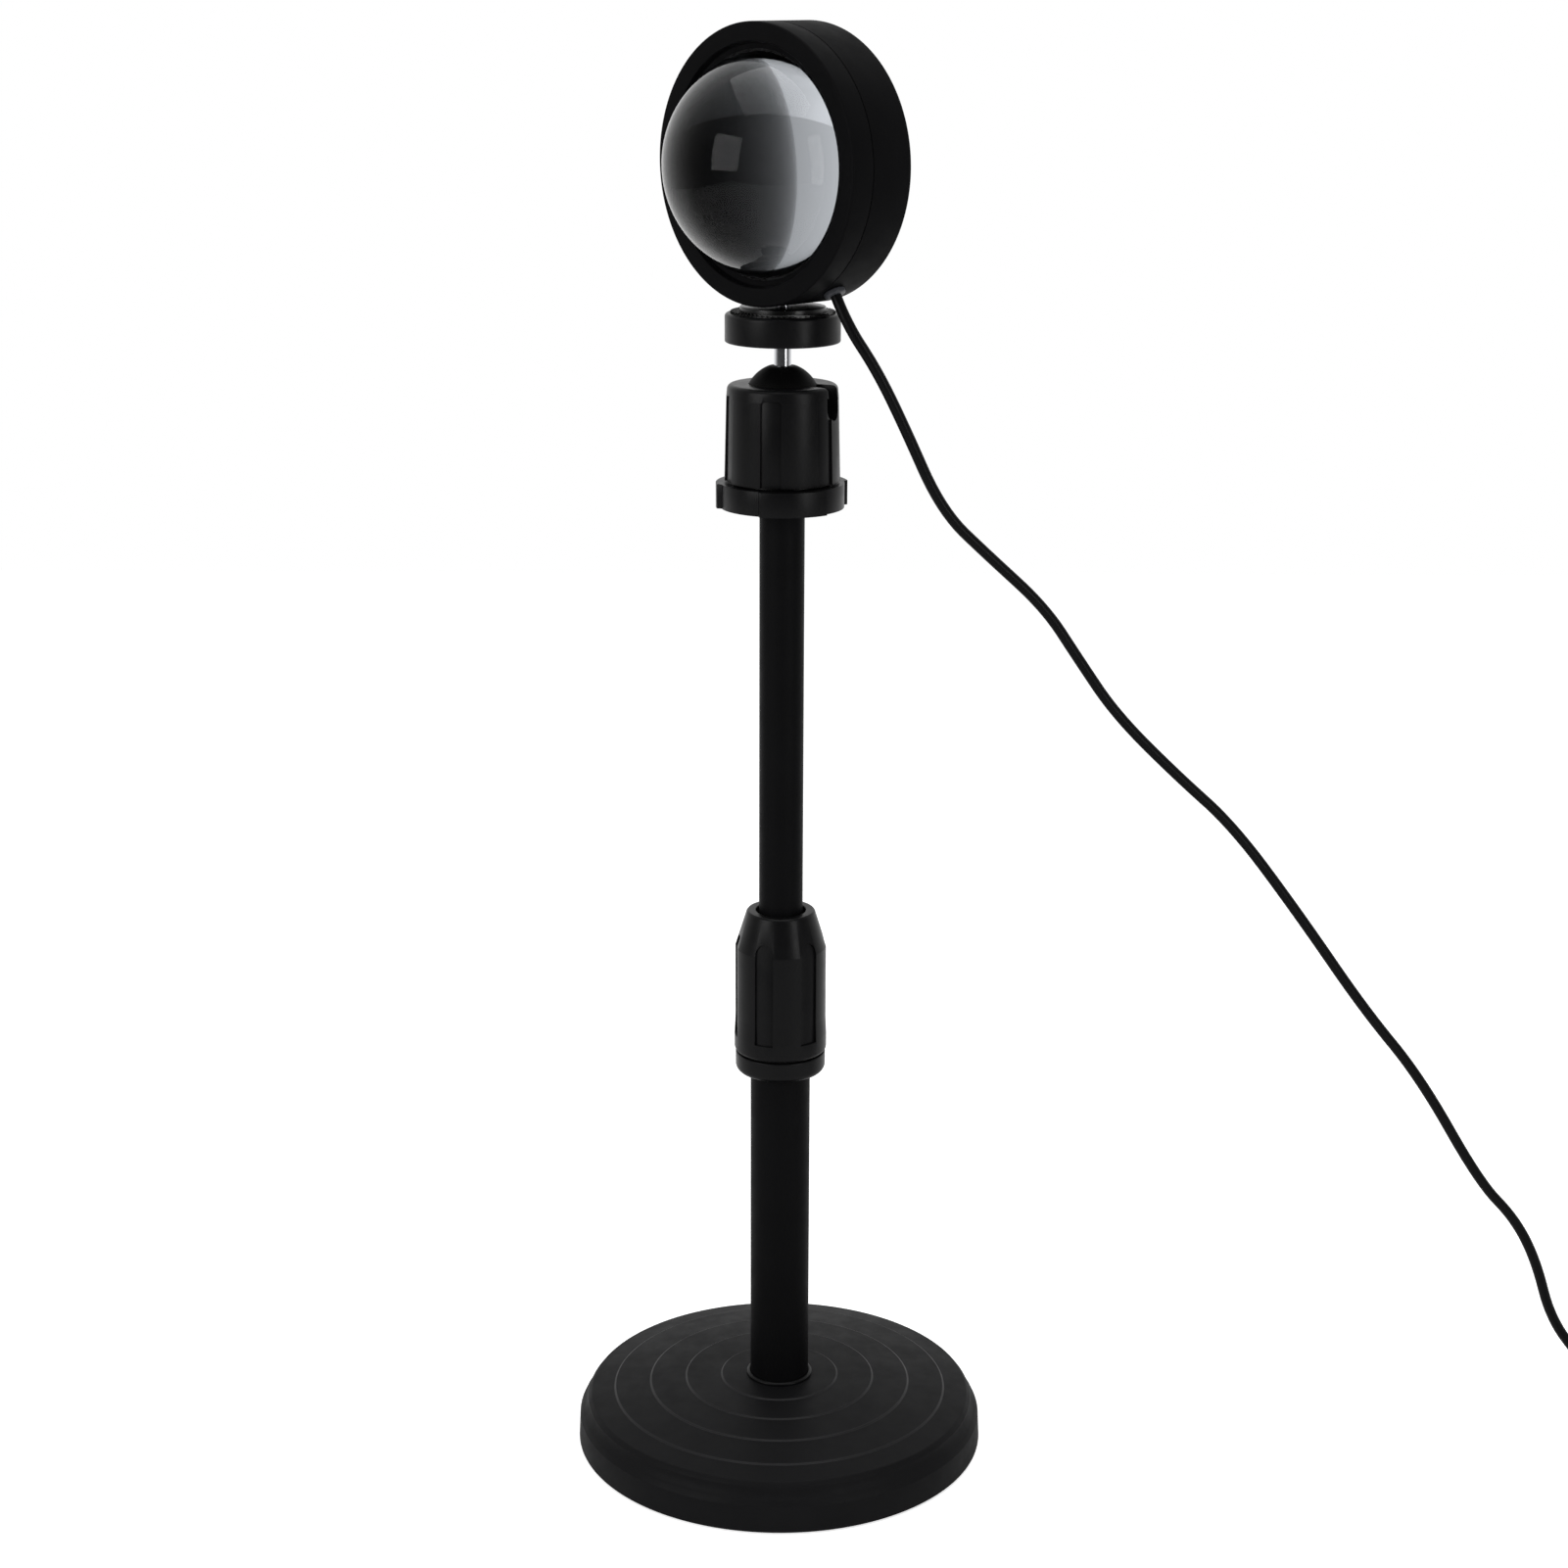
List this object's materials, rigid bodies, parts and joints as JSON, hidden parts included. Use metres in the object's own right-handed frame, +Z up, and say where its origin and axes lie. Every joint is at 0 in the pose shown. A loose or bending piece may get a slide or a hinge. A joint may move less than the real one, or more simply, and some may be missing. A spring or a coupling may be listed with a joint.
{
  "type": "sunset projection lamp",
  "caption": "Round black lamp head with a deep glass lens on a ball joint, telescopic pole and weighted disc base; thin lead ends in a small power plug.",
  "frame": {"origin": "centre of the base, on the surface that the lamp stands on", "axes": "+Z up along the pole, -Y to the front; the head looks down-left of the front, along (-0.71, -0.70, 0)"},
  "size_m": [0.4577, 0.152, 0.5208],
  "materials": {
    "coated_base": "satin black powder coat",
    "coated_tube": "smooth satin black",
    "coated_head": "fine matt black",
    "black_plastic": "moulded, satin",
    "inner_plastic": "moulded, matt",
    "bright_stem": "polished",
    "optical_glass": "polished clear",
    "sunset_film": "clear dyed",
    "cast_weight": "rough",
    "steel": "zinc plated",
    "alloy": "machined",
    "board_white": "solder mask",
    "emitter_yellow": "phosphor under clear resin",
    "brass_insert": "turned",
    "pale_grommet": "pale translucent",
    "black_rubber": "matt",
    "lead_jacket": "smooth jacket",
    "soft_foam": "closed-cell foam",
    "woven_strap": "woven",
    "plated_shell": "nickel plated"
  },
  "bodies": {
    "base": {"base_cover": "coated_base", "base_weight": "cast_weight", "base_plate": "steel", "foot_pad": "soft_foam", "plate_screws": "steel", "base_bolt": "steel", "bolt_washer": "steel", "lower_tube": "coated_tube", "tube_plug": "alloy", "foot_ring": "black_plastic", "lock_collet": "black_plastic", "lead_free": "lead_jacket", "lead_coil": "lead_jacket", "lead_tail": "lead_jacket", "coil_tie": "woven_strap", "plug_body": "black_plastic", "plug_shell": "plated_shell", "plug_tongue": "inner_plastic"},
    "collar": {"collar_nut": "black_plastic"},
    "mast": {"upper_tube": "coated_tube", "glide_bush": "inner_plastic", "tube_top_plug": "alloy", "joining_screw": "steel", "ball_housing": "black_plastic"},
    "sleeve": {"lock_sleeve": "black_plastic"},
    "ball_stud": {"ball": "inner_plastic", "stud": "bright_stem", "locking_disc": "black_plastic", "grip_pad": "black_rubber"},
    "head": {"rear_can": "coated_head", "front_ring": "coated_head", "lens": "optical_glass", "lens_gasket": "black_rubber", "lens_retainer": "alloy", "light_baffle": "inner_plastic", "heat_plate": "alloy", "light_board": "board_white", "emitter": "emitter_yellow", "film_holder": "inner_plastic", "sunset_film": "sunset_film", "board_screws": "steel", "threaded_insert": "brass_insert", "lead_gland": "pale_grommet", "lead_inner_end": "lead_jacket"}
  },
  "joints": [
    {"name": "collar_twist", "type": "hinge", "parent": "base", "child": "collar", "pos_m": [0, 0, 0.183], "axis": [0, 0, 1], "range_deg": [0, 90]},
    {"name": "mast_slide", "type": "slide", "parent": "base", "child": "mast", "axis": [0, 0, 1], "range_m": [-0.1, 0], "deforming": ["lead_free"]},
    {"name": "sleeve_turn", "type": "hinge", "parent": "mast", "child": "sleeve", "pos_m": [0, 0, 0.394], "axis": [0, 0, 1], "range_deg": [-180, 180], "deforming": ["lead_free"]},
    {"name": "stud_tilt", "type": "hinge", "parent": "sleeve", "child": "ball_stud", "pos_m": [0, 0, 0.394], "axis": [0.4067, 0.9135, 0], "range_deg": [-45, 90], "deforming": ["lead_free"]},
    {"name": "head_turn", "type": "hinge", "parent": "ball_stud", "child": "head", "pos_m": [0, 0, 0.43], "axis": [0, 0, 1], "range_deg": [-90, 90], "deforming": ["lead_free"]}
  ]
}
